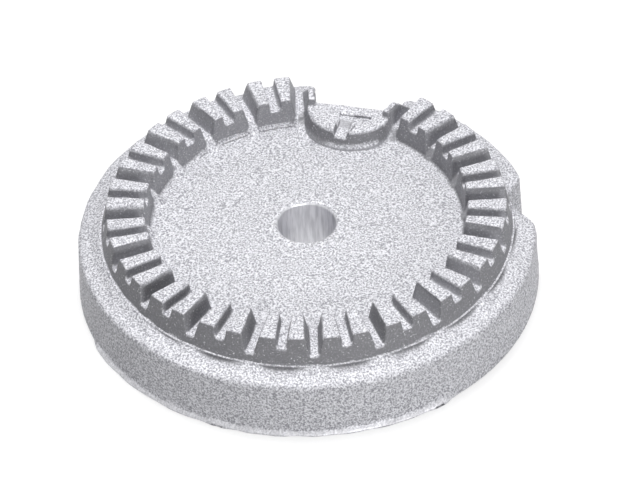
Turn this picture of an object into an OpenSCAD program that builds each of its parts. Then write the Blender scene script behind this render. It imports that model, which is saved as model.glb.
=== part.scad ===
// Burner crown: one aluminium casting that carries the ring of flame ports of a gas burner.
// Millimetres, +Z up. The origin is on the axis of the venturi bore, on the plane the skirt sits on.
// +Y runs through the middle of the igniter notch, so the sensor recess lies clockwise of it.

/* [Skirt and ledge] */
// Outer radius of the skirt at its seating edge, mm
skirt_r = 38.1; // [37.7:0.1:39]
// Outer radius of the skirt where the shoulder round starts, mm
skirt_top_r = 37.7; // [37.5:0.1:38]
// Thickness of the skirt at its seating edge, mm
skirt_wall = 2.4; // [1.8:0.1:2.8]
// Height at which the shoulder round starts, mm
shoulder_z = 8.9; // [8.6:0.1:9.1]
// Radius of the shoulder round, mm
shoulder_round = 1.1; // [0.8:0.1:1.3]
// Height of the ledge at the foot of the port ring, mm
ledge_z = 10.7; // [10.5:0.1:10.8]
// Thickness of the top plate over the underside, mm
plate_wall = 2.5; // [2:0.1:3]

/* [Port ring] */
// Height of the port ring over the seating edge, mm
ring_top_z = 16; // [15.8:0.1:17]
// Inner radius of the port ring at its top, mm
ring_in_r = 26.5; // [26.3:0.1:26.8]
// Outer radius of the port ring at its top, mm
ring_out_r = 32.75; // [32.4:0.05:33]
// Draft of the inner wall of the ring, degrees
ring_in_draft = 6.5; // [4:0.5:8]
// Draft of the outer wall of the ring, degrees
ring_out_draft = 12.5; // [10:0.5:13.5]
// Rounding of the outer edge of the ring top, mm
ring_edge = 0.3; // [0.2:0.05:0.5]

/* [Flame ports] */
// Width of a deep port at the ring top, mm
deep_w = 3; // [2.8:0.1:3.3]
// Height of the floor of a deep port, mm
deep_z = 12.7; // [12.4:0.1:13]
// Radius of the rounded floor of a deep port, mm
deep_floor_r = 0.65; // [0.5:0.05:0.8]
// Width of a shallow port at the ring top, mm
shallow_w = 2.1; // [2:0.1:2.5]
// Height of the floor of a shallow port, mm
shallow_z = 14; // [13.8:0.1:14.4]
// Width of the floor of a shallow port, mm
shallow_floor_w = 1.4; // [1.3:0.1:1.8]

/* [Floor and kerb] */
// Height of the floor at the foot of the ring, mm
floor_edge_z = 10.9; // [10.7:0.1:11]
// Height of the floor at the bore, mm
floor_bore_z = 11.7; // [11.4:0.1:12]
// Height of the kerb at the foot of the ring, mm
kerb_h = 0.3; // [0.2:0.05:0.4]
// Width of the kerb at the foot of the ring, mm
kerb_w = 0.35; // [0.25:0.05:0.5]
// Width of the chute at the inner end of a deep port, mm
chute_w = 1.6; // [1.4:0.1:1.8]

/* [Venturi bore] */
// Radius of the venturi bore, mm
bore_r = 4.75; // [4.4:0.05:5]
// Radius of the soft round on the upper rim of the bore, mm
bore_rim = 0.7; // [0.4:0.1:0.9]
// Outer radius of the bore tube at the seating plane, mm
tube_r = 7; // [6.6:0.1:7.4]
// Outer radius of the bore tube at the underside of the top plate, mm
tube_top_r = 7.6; // [7.5:0.1:8]

/* [Igniter notch] */
// Height of the platform in the notch, mm
platform_z = 14.5; // [14.3:0.1:14.8]
// Radius of the round inner edge of the platform, mm
platform_r = 7.7; // [7.4:0.1:8]
// Distance of the centre of that edge from the bore axis, mm
platform_y = 28; // [27.8:0.1:28.3]
// Draft of the inner wall of the platform, degrees
platform_draft = 9; // [6:0.5:12]
// Height of the sloping foot of the platform over the kerb, mm
platform_slope = 1; // [0.6:0.1:1.2]
// Distance of the straight outer edge of the platform from the bore axis, mm
notch_y = 27.1; // [26.9:0.1:27.4]
// Half of the width of the notch at the platform, mm
notch_half = 5.9; // [5.6:0.1:6.1]
// Distance of the right wall of the electrode opening from the middle of the notch, mm
opening_half = 7; // [6.8:0.1:7.2]
// Distance of the flared left wall of that opening from the middle, at the skirt, mm
opening_flare = 8.3; // [7.8:0.1:8.6]
// Radius of the rounded outer corners of the electrode opening, mm
opening_round = 2; // [1.6:0.1:2.2]
// Radius at which the ring top ends on both ears beside the notch, mm
ear_end_r = 29.2; // [28.9:0.1:29.5]
// Thickness of the walls round the electrode opening under the plate, mm
opening_wall = 2.2; // [1.8:0.1:2.6]

/* [Gas slot of the platform] */
// Sideways place of the gas slot, mm
slot_x = 0.2; // [0:0.1:0.4]
// Width of the gas slot at the platform, mm
slot_w = 2.7; // [2.4:0.1:3]
// Width of the gas slot at its floor, mm
slot_floor_w = 1.9; // [1.6:0.1:2.1]
// Height of the floor of the gas slot, mm
slot_z = 12.9; // [12.7:0.1:13.3]
// Depth of the shallow relief at the outer end of the gas slot, mm
relief_depth = 0.3; // [0.2:0.05:0.4]

/* [Sensor recess] */
// Direction of the sensor recess from +X, degrees
recess_turn = 25.3; // [22:0.1:28]
// Radius of the round bottom of the sensor recess, mm
recess_r = 5; // [4.6:0.1:5.3]
// Distance of the bottom of the recess from the bore axis, mm
recess_depth_r = 33.95; // [33.9:0.05:34.3]
// Radius of the rounded outer corners of the recess, mm
recess_round = 2; // [1.6:0.1:2.2]

/* [Seating lip] */
// Height of the cast lip at the foot of the skirt, mm
lip_h = 0.65; // [0.5:0.05:0.9]
// Distance by which the lip stands out of the skirt, mm
lip_out = 0.25; // [0.15:0.05:0.35]
// Direction in which the lip starts, degrees
lip_from = 217; // [210:1:225]
// Angle over which the lip runs, degrees
lip_sweep = 109; // [90:1:112]

/* [Hidden] */
$fn = 72;
cut = 1;
bite = 0.02;
pitch = 18;
notch_az = 90;
deep_ports = 19;
shallow_ports = 18;
shoulder_cx = skirt_top_r - shoulder_round;
ledge_fall = 15;
ledge_r = 34.15;
ledge_end_r = shoulder_cx + (shoulder_round - bite) * sin(ledge_fall);
ledge_end_z = shoulder_z + (shoulder_round - bite) * cos(ledge_fall);
bead_h = 0.3;
bead_w = 0.25;
ring_foot_z = ledge_z + bead_h;
ring_foot_r = ring_out_r + (ring_top_z - ring_foot_z) * tan(ring_out_draft);
kerb_z = floor_edge_z + kerb_h;
wall_foot_r = ring_in_r - (ring_top_z - kerb_z) * tan(ring_in_draft);
kerb_r = wall_foot_r - kerb_w;
edge_c = ring_out_r - ring_edge;
rim_cx = bore_r + bore_rim;
rim_cz = floor_bore_z - bore_rim;
ceiling_z = floor_edge_z - plate_wall;
ceiling_mid_z = floor_bore_z - plate_wall;
hollow_r = skirt_r - skirt_wall;
hollow_top_r = hollow_r - 0.7;
hollow_round = 0.9;
tube_chamfer = 0.6;
deep_floor_cz = deep_z + deep_floor_r;
deep_rake = atan((deep_w / 2 - deep_floor_r) / (ring_top_z - deep_floor_cz));
shallow_round = 0.35;
port_in_r = 24.3;
notch_port_in_r = 20;
port_out_r = 36;
platform_foot_z = floor_edge_z - cut;
platform_foot_r = platform_r + (platform_z - platform_foot_z) * tan(platform_draft);
platform_kerb_r = platform_r + (platform_z - kerb_z) * tan(platform_draft) + kerb_w;
platform_slope_r = platform_r + (platform_z - kerb_z - platform_slope) * tan(platform_draft) - 0.05;
ear_y = 28.4;
opening_walls = [[-1, opening_flare], [1, opening_half]];
recess_cr = recess_depth_r + recess_r;
corner_far = skirt_r - recess_round + 0.05;
corner_near = recess_r + recess_round - bite;
corner_u = (pow(corner_far, 2) + pow(recess_cr, 2) - pow(corner_near, 2)) / (2 * recess_cr);
corner_w = sqrt(pow(corner_far, 2) - pow(corner_u, 2));
clear_r = 42;
finish_colour = [0.78, 0.78, 0.79];

// The metal from the seating plane to the ring top before anything is cut, one half section turned round.
module casting_section() {
    // plate, skirt and ledge
    polygon([
        [0, 0], [skirt_r, 0], [skirt_top_r - bite, shoulder_z], [ledge_end_r, ledge_end_z],
        [ledge_r, ledge_z], [ledge_r - 0.05, ring_foot_z], [ledge_r - bead_w, ring_foot_z],
        [ledge_r - bead_w - 0.1, floor_edge_z], [kerb_r, floor_edge_z], [rim_cx, floor_bore_z],
        [bore_r - cut, floor_bore_z], [0, floor_bore_z]
    ]);
    translate([shoulder_cx, shoulder_z])
        circle(r = shoulder_round);
    // port ring with the kerb at its inner foot and the rounded outer edge of its top
    polygon([
        [kerb_r, floor_edge_z - cut], [ledge_r - cut, floor_edge_z - cut],
        [ring_foot_r, ring_foot_z],
        [edge_c + ring_edge - bite, ring_top_z - ring_edge], [edge_c, ring_top_z - bite],
        [edge_c - ring_edge, ring_top_z], [ring_in_r, ring_top_z],
        [wall_foot_r, kerb_z], [kerb_r, kerb_z]
    ]);
    translate([edge_c, ring_top_z - ring_edge])
        circle(r = ring_edge, $fn = 24);
}

// Half section of the space under the top plate, between the bore tube and the skirt.
module underside_section() {
    polygon([
        [tube_r - tube_chamfer, -cut], [hollow_r + 0.05, -cut], [hollow_r, 0],
        [hollow_top_r, ceiling_z - hollow_round], [hollow_top_r - hollow_round, ceiling_z],
        [tube_top_r, ceiling_mid_z], [tube_r, tube_chamfer], [tube_r - tube_chamfer, 0]
    ]);
}

// Centre of the rounded outer corner of the electrode opening, for a wall this far from the middle.
function corner_x(wall_x) = wall_x + opening_round - bite;
function corner_y(wall_x) = sqrt(pow(skirt_r - opening_round, 2) - pow(corner_x(wall_x), 2)) + 0.14;

// Outline of the electrode opening seen from above: straight right wall, flared left wall, rounded corners.
module opening_outline() {
    polygon([
        [-notch_half, notch_y], [notch_half, notch_y], [opening_half - 0.2, ear_y],
        [opening_half, ear_y + 0.5], [opening_half, clear_r], [-opening_flare, clear_r],
        [-opening_flare, corner_y(opening_flare)], [0.2 - opening_half, ear_y]
    ]);
    for (wall = opening_walls) {
        side = wall[0];
        near_x = wall[1] - cut;
        far_x = corner_x(wall[1]);
        from_y = corner_y(wall[1]);
        difference() {
            polygon([
                [side * near_x, from_y], [side * far_x, from_y],
                [side * far_x, clear_r], [side * near_x, clear_r]
            ]);
            translate([side * far_x, from_y])
                circle(r = opening_round);
        }
    }
}

// Outline of the sensor recess seen from above, before it is turned to its place.
module recess_outline() {
    translate([recess_cr, 0])
        circle(r = recess_r);
    for (side = [-1, 1])
        difference() {
            polygon([
                [corner_u, side * corner_w], [recess_cr, 0],
                [corner_u * clear_r / corner_far, side * corner_w * clear_r / corner_far]
            ]);
            translate([corner_u, side * corner_w])
                circle(r = recess_round);
        }
}

// Cross section of a deep port: drafted sides on a half round floor.
module deep_section() {
    side_y = (deep_floor_r - bite) * cos(deep_rake);
    side_z = deep_floor_cz - (deep_floor_r - bite) * sin(deep_rake);
    top_y = deep_w / 2 + cut * tan(deep_rake);
    translate([0, deep_floor_cz])
        circle(r = deep_floor_r, $fn = 32);
    polygon([
        [-side_y, side_z], [side_y, side_z],
        [top_y, ring_top_z + cut], [-top_y, ring_top_z + cut]
    ]);
}

// Cross section of a shallow port: drafted sides and a level floor with rounded corners.
module shallow_section() {
    floor_y = shallow_floor_w / 2 - shallow_round;
    side_y = floor_y + shallow_round - bite;
    top_y = shallow_w / 2 + cut * (shallow_w - shallow_floor_w) / 2 / (ring_top_z - shallow_z);
    for (side = [-1, 1])
        translate([side * floor_y, shallow_z + shallow_round])
            circle(r = shallow_round, $fn = 24);
    polygon([
        [-floor_y, shallow_z + bite], [floor_y, shallow_z + bite],
        [side_y, shallow_z + shallow_round], [top_y, ring_top_z + cut],
        [-top_y, ring_top_z + cut], [-side_y, shallow_z + shallow_round]
    ]);
}

// Stands a section drawn in width and height up and runs it outwards along the radius.
module along_radius(turn, from_r, to_r) {
    rotate([0, 0, turn])
        translate([from_r, 0, 0])
            rotate([90, 0, 90])
                linear_extrude(height = to_r - from_r)
                    children();
}

// Ramp that breaks the kerb in front of a deep port.
module chute(turn) {
    rotate([0, 0, turn])
        translate([0, chute_w / 2, 0])
            rotate([90, 0, 0])
                linear_extrude(height = chute_w)
                    polygon([
                        [kerb_r - 0.4, floor_edge_z - cut], [ring_in_r + cut, floor_edge_z - cut],
                        [ring_in_r + cut, deep_z - 0.1], [wall_foot_r + 0.15, deep_z - 0.1],
                        [kerb_r - 0.4, floor_edge_z]
                    ]);
}

// Platform of the notch with its kerb: a drafted round boss that stands on the floor on a sloping foot.
module platform() {
    translate([0, platform_y, platform_foot_z])
        cylinder(r1 = platform_foot_r, r2 = platform_r, h = platform_z - platform_foot_z);
    translate([0, platform_y, platform_foot_z])
        cylinder(r = platform_kerb_r, h = kerb_z - platform_foot_z);
    translate([0, platform_y, kerb_z - bite])
        cylinder(r1 = platform_kerb_r - bite, r2 = platform_slope_r, h = platform_slope);
}

// Space over the platform between the two ears.
module notch_space() {
    translate([0, 0, platform_z])
        linear_extrude(height = ring_top_z - platform_z + cut)
            polygon([
                [0.3 - notch_half, 24.6], [notch_half - 0.3, 24.6],
                [notch_half, notch_y], [notch_half, notch_y + cut],
                [-notch_half, notch_y + cut], [-notch_half, notch_y]
            ]);
}

// Slope that takes the outer ends of both ears down to the ledge.
module ear_slope() {
    reach = ring_top_z - ring_foot_z;
    rotate([0, 0, notch_az - pitch])
        rotate_extrude(angle = 2 * pitch)
            polygon([
                [ear_end_r - cut, ring_top_z + cut], [ear_end_r + reach, ring_foot_z],
                [clear_r, ring_foot_z], [clear_r, ring_top_z + cut]
            ]);
}

// Gas slot from the chamber on to the platform: level floor, then a ramp up to the relief.
module gas_slot() {
    top_half = slot_w / 2;
    floor_half = slot_floor_w / 2;
    flare = (top_half - floor_half) / (platform_z - slot_z);
    intersection() {
        translate([slot_x, 26, 0])
            rotate([90, 0, 0])
                linear_extrude(height = 8)
                    polygon([
                        [-floor_half, slot_z], [floor_half, slot_z],
                        [top_half + cut * flare, platform_z + cut], [-top_half - cut * flare, platform_z + cut]
                    ]);
        translate([slot_x - 3, 0, 0])
            rotate([90, 0, 90])
                linear_extrude(height = 6)
                    polygon([
                        [18.5, slot_z - cut], [23.6, slot_z - cut], [23.6, slot_z], [24.6, platform_z - relief_depth],
                        [24.6, platform_z + cut / 2], [18.5, platform_z + cut / 2]
                    ]);
    }
}

// Shallow relief of the platform behind the gas slot, with a bowed outer edge.
module relief() {
    translate([0, 0, platform_z - relief_depth])
        linear_extrude(height = cut)
            polygon([
                [-1.15, 22.6], [-1.55, 23.6], [-1.4, 24.2], [-0.9, 24.55], [0.7, 24.75],
                [2.4, 24.85], [3.9, 24.85], [4.1, 24.3], [2.6, 23.4], [1.5, 22.6]
            ]);
}

// Cast lip on part of the seating edge, with a sloping top.
module seating_lip() {
    rotate([0, 0, lip_from])
        rotate_extrude(angle = lip_sweep)
            polygon([
                [skirt_r - cut, 0], [skirt_r + lip_out, 0],
                [skirt_r + lip_out, lip_h * 0.55], [skirt_r - 0.1, lip_h + 0.1], [skirt_r - cut, lip_h + 0.1]
            ]);
}

// The hollow under the plate, with walls kept round the opening, the recess and the bore.
module underside() {
    difference() {
        rotate_extrude()
            underside_section();
        translate([-opening_flare - opening_wall, notch_y - opening_wall, -2 * cut])
            cube([opening_flare + opening_half + 2 * opening_wall, clear_r, floor_bore_z + 2 * cut]);
        rotate([0, 0, recess_turn])
            translate([recess_cr, 0, -2 * cut])
                cylinder(r = recess_r + opening_wall, h = floor_bore_z + 2 * cut);
    }
}

module burner_crown() {
    color(finish_colour)
        difference() {
            union() {
                rotate_extrude()
                    casting_section();
                platform();
                for (k = [0 : deep_ports - 1])
                    chute(notch_az + pitch + k * pitch);
                seating_lip();
            }
            underside();
            translate([0, 0, -cut])
                cylinder(r = bore_r, h = floor_bore_z + 2 * cut);
            translate([0, 0, rim_cz])
                rotate_extrude()
                    difference() {
                        square([rim_cx, bore_rim + cut]);
                        translate([rim_cx - bite, 0])
                            circle(r = bore_rim, $fn = 32);
                    }
            for (k = [0 : deep_ports - 1])
                along_radius(notch_az + pitch + k * pitch,
                             k == 0 || k == deep_ports - 1 ? notch_port_in_r : port_in_r, port_out_r)
                    deep_section();
            for (k = [0 : shallow_ports - 1])
                along_radius(notch_az + pitch * 1.5 + k * pitch, port_in_r, port_out_r)
                    shallow_section();
            notch_space();
            ear_slope();
            translate([0, 0, -cut])
                linear_extrude(height = ring_top_z + 2 * cut)
                    opening_outline();
            rotate([0, 0, recess_turn])
                translate([0, 0, -cut])
                    linear_extrude(height = ring_foot_z + cut)
                        recess_outline();
            gas_slot();
            relief();
        }
}

burner_crown();
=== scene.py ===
"""Studio scene of a gas burner crown, a bead-blasted aluminium casting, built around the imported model."""

import logging
from collections.abc import Callable
from dataclasses import dataclass, field
from enum import IntEnum

import bpy
import numpy as np
from mathutils import Matrix, Vector


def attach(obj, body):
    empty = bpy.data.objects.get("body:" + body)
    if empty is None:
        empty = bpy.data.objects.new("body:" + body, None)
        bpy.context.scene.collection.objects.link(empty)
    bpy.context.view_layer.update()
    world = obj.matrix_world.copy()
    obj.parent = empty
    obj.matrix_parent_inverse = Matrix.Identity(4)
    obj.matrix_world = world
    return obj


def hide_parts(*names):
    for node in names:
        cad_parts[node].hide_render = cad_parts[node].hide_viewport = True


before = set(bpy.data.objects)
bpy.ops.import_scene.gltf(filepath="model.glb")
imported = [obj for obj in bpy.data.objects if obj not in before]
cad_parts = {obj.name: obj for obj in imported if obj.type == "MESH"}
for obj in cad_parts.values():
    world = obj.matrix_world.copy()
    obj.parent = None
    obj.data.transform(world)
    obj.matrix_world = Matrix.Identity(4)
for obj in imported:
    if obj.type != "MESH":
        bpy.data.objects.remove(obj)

LOG = logging.getLogger("burner_crown")
MM = 0.001
DULL = "dull"
MACHINED = "machined"
# Attribute that carries the painted shade on the walls, in the ports and on a few patches.
SHADE = "shade"
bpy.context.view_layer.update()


Array = np.ndarray
Point = tuple[float, float]
Colour = tuple[float, float, float]


def eased(first: Array, second: Array, radius: Array | float) -> Array:
    """Meets two half spaces and rounds the outer edge they share.

    Well inside, the value is the larger of the two distances. Within one radius of both faces it is the distance
    to a cylinder of that radius laid in the edge.

    Args:
        first: Signed distance to one face, negative in the metal.
        second: Signed distance to the other face.
        radius: Radius of the rounded edge.

    Returns:
        Signed distance to the rounded meet.
    """
    corner = np.hypot(np.maximum(first + radius, 0.0), np.maximum(second + radius, 0.0))
    return np.minimum(np.maximum(first, second), -radius) + corner


def filleted(first: Array, second: Array, radius: Array | float) -> Array:
    """Joins two bodies with a hollow round of this radius in the inner edge between them."""
    return -eased(-first, -second, radius)


def ramp(value: Array, low: float, high: float) -> Array:
    """Smooth step: 0 below low, 1 above high, and three t squared less two t cubed between."""
    share = np.clip((value - low) / (high - low), 0.0, 1.0)
    return share * share * (3.0 - 2.0 * share)


@dataclass(frozen=True)
class Spots:
    """Points in millimetres, with their distance from the bore axis and their bearing in degrees."""

    x: Array
    y: Array
    z: Array

    @property
    def r(self) -> Array:
        """Distance from the bore axis."""
        return np.hypot(self.x, self.y)

    @property
    def bearing(self) -> Array:
        """Bearing from +X in degrees, between -180 and 180."""
        return np.degrees(np.arctan2(self.y, self.x))


@dataclass(frozen=True)
class Unevenness:
    """Slow swells and small lumps that sand or die casting leaves on every face."""

    swell: float = 0.035
    swell_pitch: float = 9.0
    lump: float = 0.02
    lump_pitch: float = 2.2
    waves: int = 10
    seed: int = 41

    def height(self, at: Spots) -> Array:
        """Sums plane sine waves of random direction and phase, at two scales.

        Args:
            at: Points to work out.

        Returns:
            Height of the unevenness at each point, in mm.
        """
        draw = np.random.default_rng(self.seed)
        total = np.zeros_like(at.x)
        for size, pitch in ((self.swell, self.swell_pitch), (self.lump, self.lump_pitch)):
            ways = draw.normal(size=(self.waves, 3))
            ways /= np.linalg.norm(ways, axis=1, keepdims=True)
            pitches = pitch * draw.uniform(0.7, 1.5, self.waves)
            phases = draw.uniform(0.0, 2.0 * np.pi, self.waves)
            for way, length, phase in zip(ways, pitches, phases):
                along = at.x * way[0] + at.y * way[1] + at.z * way[2]
                total += size * np.sqrt(2.0 / self.waves) * np.sin(2.0 * np.pi * along / length + phase)
        return total


@dataclass(frozen=True)
class Ports:
    """The flame ports: deep and shallow ones in turn, with parallel drafted sides."""

    pitch: float = 9.0
    first: int = 2
    half_round: int = 20
    deep_top: float = 1.5
    deep_floor: float = 12.7
    deep_flat: float = 0.45
    deep_radius: float = 0.35
    shallow_top: float = 1.05
    shallow_floor: float = 14.0
    shallow_flat: float = 0.48
    shallow_radius: float = 0.42
    top: float = 16.0
    chute_in: Point = (24.4, 10.93)
    chute_out: Point = (27.0, 12.7)
    chute_short: float = 0.95
    short_turn: float = 31.0
    ear_half: float = 1.15
    wander: float = 0.07
    seed: int = 7

    def chute_foot(self, at: Spots) -> Array:
        """Radius at which the chutes start from the floor, further out on the right of the notch."""
        right = ramp(-np.abs(at.bearing - self.short_turn), -46.0, -38.0)
        return self.chute_in[0] + self.chute_short * right

    def chute_slope(self, at: Spots) -> Array:
        """Rise of the chute at a deep port's inner end for each millimetre outwards."""
        return (self.chute_out[1] - self.chute_in[1]) / (self.chute_out[0] - self.chute_foot(at))

    def rake(self, half: float, flat: float, radius: float, floor: float) -> float:
        """Angle of a port's side from upright, in radians, for a side that is tangent to the floor round."""
        rise = self.top - floor - radius
        reach = half - flat
        return float(np.arctan2(reach, rise) - np.arcsin(radius / np.hypot(reach, rise)))

    def nearest(self, at: Spots) -> tuple[Array, Array]:
        """Finds the port nearest to each point.

        Args:
            at: Points to work out.

        Returns:
            The port's number counted from the notch, and the sideways distance from its middle line.
        """
        turns = (at.bearing - 90.0) / self.pitch
        turns = np.where(turns < -self.half_round, turns + 2 * self.half_round, turns)
        number = np.rint(turns)
        number = np.where(np.abs(number) < self.first, np.where(turns < 0, -self.first, self.first), number)
        angle = np.radians(90.0 + self.pitch * number)
        return number, at.y * np.cos(angle) - at.x * np.sin(angle)

    def section(self, off: Array, z: Array, half: float, flat: float, radius: float, floor: float) -> Array:
        """Distance to the section of a port, a floor with round corners and two raked sides.

        Args:
            off: Sideways distance from the port's middle line.
            z: Height.
            half: Half of the width at the ring top.
            flat: Half of the level part of the floor.
            radius: Radius of the floor's corners.
            floor: Height of the floor.

        Returns:
            Signed distance, negative in the open port.
        """
        rake = self.rake(half, flat, radius, floor)
        side = np.abs(off) - flat
        rise = z - floor - radius
        sloped = side * np.cos(rake) - rise * np.sin(rake) - radius
        rounded = np.hypot(np.maximum(side, 0.0), np.minimum(rise, 0.0)) - radius
        return np.where(side * np.sin(rake) + rise * np.cos(rake) < 0.0, rounded, sloped)

    def open_space(self, at: Spots) -> Array:
        """Distance to the nearest port, negative in its open space, with each port a little off its place."""
        number, off = self.nearest(at)
        place = np.rint(number + self.half_round).astype(int) % (2 * self.half_round)
        draw = np.random.default_rng(self.seed)
        shift = draw.uniform(-self.wander, self.wander, 2 * self.half_round)[place]
        ease = draw.uniform(-self.wander, self.wander, 2 * self.half_round)[place] * 0.6
        off = off + shift
        off = np.where((number == -self.first) & (off > 0.0), off * self.deep_top / self.ear_half, off)
        drop = np.maximum(self.chute_out[0] - at.r, 0.0) * self.chute_slope(at) * ramp(-at.z, -15.0, -13.5)
        deep = self.section(off, at.z + drop, self.deep_top, self.deep_flat, self.deep_radius, self.deep_floor)
        shallow = self.section(off, at.z, self.shallow_top, self.shallow_flat, self.shallow_radius, self.shallow_floor)
        return np.where(np.mod(number, 2) == 0, deep, shallow) + ease

    def height(self, off: Array, deep: Array) -> Array:
        """Height of a port's surface at a sideways distance, never above the ring top."""
        heights = []
        kinds = ((self.deep_top, self.deep_flat, self.deep_radius, self.deep_floor),
                 (self.shallow_top, self.shallow_flat, self.shallow_radius, self.shallow_floor))
        for half, flat, radius, floor in kinds:
            rake = self.rake(half, flat, radius, floor)
            side = np.abs(off) - flat
            bow = floor + radius - np.sqrt(np.maximum(radius ** 2 - np.maximum(side, 0.0) ** 2, 0.0))
            slope = floor + radius + (side * np.cos(rake) - radius) / np.sin(rake)
            heights.append(np.minimum(np.where(side < radius * np.cos(rake), bow, slope), self.top))
        return np.where(deep, heights[0], heights[1])


@dataclass(frozen=True)
class Ring:
    """The port ring: drafted inner and outer wall, level top, kerb and bead at its feet."""

    top: float = 16.0
    in_r: float = 26.5
    out_r: float = 32.75
    in_draft: float = 6.5
    out_draft: float = 12.5
    kerb_r: float = 25.25
    kerb_z: float = 11.36
    kerb_turns: Point = (95.0, 149.0)
    kerb_sink: float = 0.51
    chute_pitch: float = 18.0
    bead_r: float = 34.14
    bead_z: float = 11.12
    edge: float = 0.3
    port_edge: float = 0.24

    def inner(self, z: Array | float) -> Array | float:
        """Radius of the inner wall at a height."""
        return self.in_r - (self.top - z) * np.tan(np.radians(self.in_draft))

    def outer(self, z: Array | float) -> Array | float:
        """Radius of the outer wall at a height."""
        return self.out_r + (self.top - z) * np.tan(np.radians(self.out_draft))

    def distance(self, at: Spots, ports: Ports) -> Array:
        """Distance to the ring with its ports cut: two drafted walls and a top, less the open space of the ports.

        Args:
            at: Points to work out.
            ports: The flame ports.

        Returns:
            Signed distance, negative in the metal.
        """
        outer = (at.r - self.outer(at.z)) * np.cos(np.radians(self.out_draft))
        inner = (self.inner(at.z) - at.r) * np.cos(np.radians(self.in_draft))
        walls = np.maximum(outer, inner)
        body = eased(walls, at.z - self.top, self.edge)
        ends = self.port_edge + 0.1 * ramp(-at.z, -14.4, -13.4) * ramp(at.r, 29.0, 31.0)
        return eased(body, -ports.open_space(at), ends)

    def kerbed(self, at: Spots) -> Array:
        """Share of the kerb that is left: whole between the chutes left of the notch, sunk elsewhere."""
        first, last = self.kerb_turns
        between = ramp(-np.cos(np.radians((at.bearing - 90.0) * 360.0 / self.chute_pitch)), -0.7, -0.3)
        return between * ramp(at.bearing, first - 5.0, first) * ramp(-at.bearing, -last - 5.0, -last)

    def feet(self, at: Spots) -> Array:
        """Distance to the kerb inside and the bead outside, two low steps at the feet of the walls."""
        kerb = eased(at.z - self.kerb_z + self.kerb_sink * (1.0 - self.kerbed(at)), self.kerb_r - at.r, 0.06)
        bead = eased(at.z - self.bead_z, at.r - self.bead_r, 0.06)
        return np.where(at.r < 30.0, kerb, bead)


@dataclass(frozen=True)
class Platform:
    """The igniter platform: a drafted round boss with a sloping foot, a gas slot and a shallow relief."""

    top: float = 14.5
    radius: float = 7.7
    middle: Point = (0.15, 28.0)
    draft: float = 9.0
    kerb: float = 0.22
    kerb_z: float = 11.4
    foot_slope: float = 1.0
    edge: float = 0.4
    slot_x: float = 0.2
    slot_half: float = 1.22
    slot_floor_half: float = 0.98
    slot_z: float = 13.35
    slot_end: float = 22.9
    ramp_end: float = 24.4
    relief: float = 0.55
    relief_back: Point = (25.1, 0.04)
    relief_outline: tuple[Point, ...] = (
        (-1.1, 20.0), (-1.08, 23.6), (-1.05, 26.0), (4.0, 26.0), (4.5, 25.0), (3.9, 24.3), (2.6, 23.4), (1.5, 20.0),
    )

    def wall(self, z: Array | float) -> Array | float:
        """Radius of the boss at a height."""
        return self.radius + (self.top - z) * np.tan(np.radians(self.draft))

    def reach(self, turn: Array, radius: Array | float) -> Array:
        """Where a ray from the bore axis first meets a circle about the platform's middle.

        Args:
            turn: Bearings of the rays in degrees.
            radius: Radius of the circle.

        Returns:
            Distance from the bore axis, or a large number where the ray passes the circle.
        """
        lean = np.radians(turn) - np.arctan2(self.middle[1], self.middle[0])
        far = np.hypot(*self.middle)
        room = radius ** 2 - (far * np.sin(lean)) ** 2
        return np.where((room > 0.0) & (np.cos(lean) > 0.0), far * np.cos(lean) - np.sqrt(np.maximum(room, 0.0)), 99.0)

    def slot_height(self, x: Array) -> Array:
        """Height of the gas slot's section across it: level floor, then sloping sides up to the platform."""
        rise = (np.abs(x - self.slot_x) - self.slot_floor_half) / (self.slot_half - self.slot_floor_half)
        return self.slot_z + (self.top - self.slot_z) * np.clip(rise, 0.0, 1.0)

    def step_line(self, x: Array) -> Array:
        """Distance of the step behind the relief from the bore axis, a little further on the right."""
        return self.relief_back[0] + self.relief_back[1] * x

    def dip(self, x: Array, y: Array) -> Array:
        """Distance from above to the outline of the relief, which ends at the step line."""
        return np.maximum(polygon_distance(x, y, self.relief_outline), y - self.step_line(x))

    def height(self, x: Array, y: Array) -> Array:
        """Height of the platform's top: level, lower in the relief, and lowest in the slot with its ramp."""
        relief = self.top - self.relief * (self.dip(x, y) < 0.0)
        rise = (self.top - self.relief - self.slot_z) / (self.ramp_end - self.slot_end)
        slot = np.maximum(self.slot_height(x), self.slot_z + np.maximum(y - self.slot_end, 0.0) * rise)
        return np.minimum(relief, slot)

    def distance(self, at: Spots) -> Array:
        """Distance to the boss, its foot and its kerb, less the slot and the relief.

        Args:
            at: Points to work out.

        Returns:
            Signed distance, negative in the metal.
        """
        apart = np.hypot(at.x - self.middle[0], at.y - self.middle[1])
        boss = eased((apart - self.wall(at.z)) * np.cos(np.radians(self.draft)), at.z - self.top, self.edge)
        kerb = eased(apart - self.wall(self.kerb_z) - self.kerb, at.z - self.kerb_z, 0.08)
        body = filleted(boss, kerb, self.foot_slope)
        lean = np.arctan2(self.slot_half - self.slot_floor_half, self.top - self.slot_z)
        side = (np.abs(at.x - self.slot_x) - self.slot_floor_half) * np.cos(lean) - (at.z - self.slot_z) * np.sin(lean)
        rise = self.top - self.relief - self.slot_z
        slope = np.arctan2(rise, self.ramp_end - self.slot_end)
        ramp_face = (self.slot_z - at.z) * np.cos(slope) + (at.y - self.slot_end) * np.sin(slope)
        bottom = np.maximum(self.slot_z - at.z, ramp_face)
        slot = eased(side, bottom, 0.15)
        relief = np.maximum(self.dip(at.x, at.y), self.top - self.relief - at.z)
        return eased(eased(body, -slot, 0.12), -relief, 0.06)


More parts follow.
